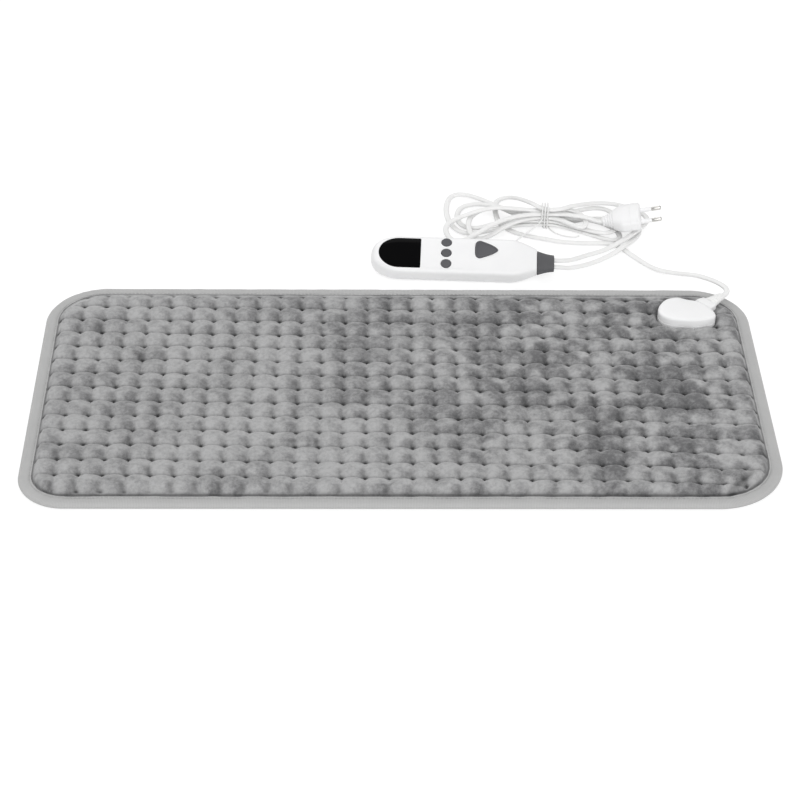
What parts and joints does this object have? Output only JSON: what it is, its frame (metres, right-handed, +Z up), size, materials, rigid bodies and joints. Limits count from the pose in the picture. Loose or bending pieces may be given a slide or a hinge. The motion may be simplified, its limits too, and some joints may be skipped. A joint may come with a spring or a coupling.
{
  "type": "heating pad with controller",
  "caption": "Rectangular quilted electric heating pad with a bound edge, a plug-in socket near one corner, and a hand controller on a cord with a tied hank and mains plug.",
  "frame": {"origin": "middle of the pad's underside, where it lies on the table", "axes": "+X along the pad's length, towards the socket; +Y across the pad, towards the controller; +Z up"},
  "size_m": [0.6, 0.4641, 0.027],
  "materials": {
    "plush_grey": "matt short pile",
    "binding_grey": "matt knit",
    "felt_cream": "matt",
    "shell_white": "satin",
    "cord_white": "smooth",
    "key_grey": "satin",
    "boot_grey": "matt",
    "window_black": "polished",
    "board_green": "satin",
    "component_black": "satin",
    "capacitor_brown": "gloss",
    "metal": "bright nickel"
  },
  "bodies": {
    "base": {"pad_cover_top": "plush_grey", "pad_cover_bottom": "plush_grey", "edge_binding": "binding_grey", "heating_carrier": "felt_cream", "wadding_sheet": "felt_cream", "heating_wire": "cord_white", "fuse": "cord_white", "mains_lead": "cord_white", "mains_hank": "cord_white", "mains_tail": "cord_white", "pad_cord": "cord_white", "cord_tie": "cord_white", "thermal_cutout": "metal", "socket_screw_1": "metal", "socket_screw_2": "metal", "socket_pin_1": "metal", "socket_pin_2": "metal", "socket_pin_3": "metal", "handset_screw_1": "metal", "handset_screw_2": "metal", "plug_pin_1": "metal", "plug_pin_2": "metal", "socket_shell": "shell_white", "socket_base": "shell_white", "socket_backing_plate": "shell_white", "handset_top_shell": "shell_white", "handset_bottom_shell": "shell_white", "key_panel": "shell_white", "plug_body": "shell_white", "contact_block": "boot_grey", "strain_relief_boot": "boot_grey", "pin_sleeve_1": "boot_grey", "pin_sleeve_2": "boot_grey", "tact_switch_1": "component_black", "tact_switch_2": "component_black", "tact_switch_3": "component_black", "tact_switch_4": "component_black", "display_module": "component_black", "microcontroller": "component_black", "triac": "component_black", "display_window": "window_black", "circuit_board": "board_green", "film_capacitor": "capacitor_brown"},
    "connector": {"connector_body": "shell_white", "connector_contact_1": "metal", "connector_contact_2": "metal", "connector_contact_3": "metal", "connector_relief": "cord_white", "pad_cord_end": "cord_white"},
    "near_key": {"round_key_1": "key_grey"},
    "middle_key": {"round_key_2": "key_grey"},
    "far_key": {"round_key_3": "key_grey"},
    "pick_shaped_key": {"pick_key": "key_grey"}
  },
  "joints": [
    {"name": "connector_slide", "type": "slide", "parent": "base", "child": "connector", "axis": [0.7431, 0.6691, 0], "range_m": [0, 0.014]},
    {"name": "near_key_press", "type": "slide", "parent": "base", "child": "near_key", "axis": [0.0173, 0.3235, -0.9461], "range_m": [0, 0.0005], "stiffness_N_per_m": 2000, "springref_m": -0.0002},
    {"name": "middle_key_press", "type": "slide", "parent": "base", "child": "middle_key", "axis": [0.0173, 0.3235, -0.9461], "range_m": [0, 0.0005], "stiffness_N_per_m": 2000, "springref_m": -0.0002},
    {"name": "far_key_press", "type": "slide", "parent": "base", "child": "far_key", "axis": [0.0173, 0.3235, -0.9461], "range_m": [0, 0.0005], "stiffness_N_per_m": 2000, "springref_m": -0.0002},
    {"name": "pick_key_press", "type": "slide", "parent": "base", "child": "pick_shaped_key", "axis": [0.0173, 0.3235, -0.9461], "range_m": [0, 0.0005], "stiffness_N_per_m": 2000, "springref_m": -0.0002}
  ]
}
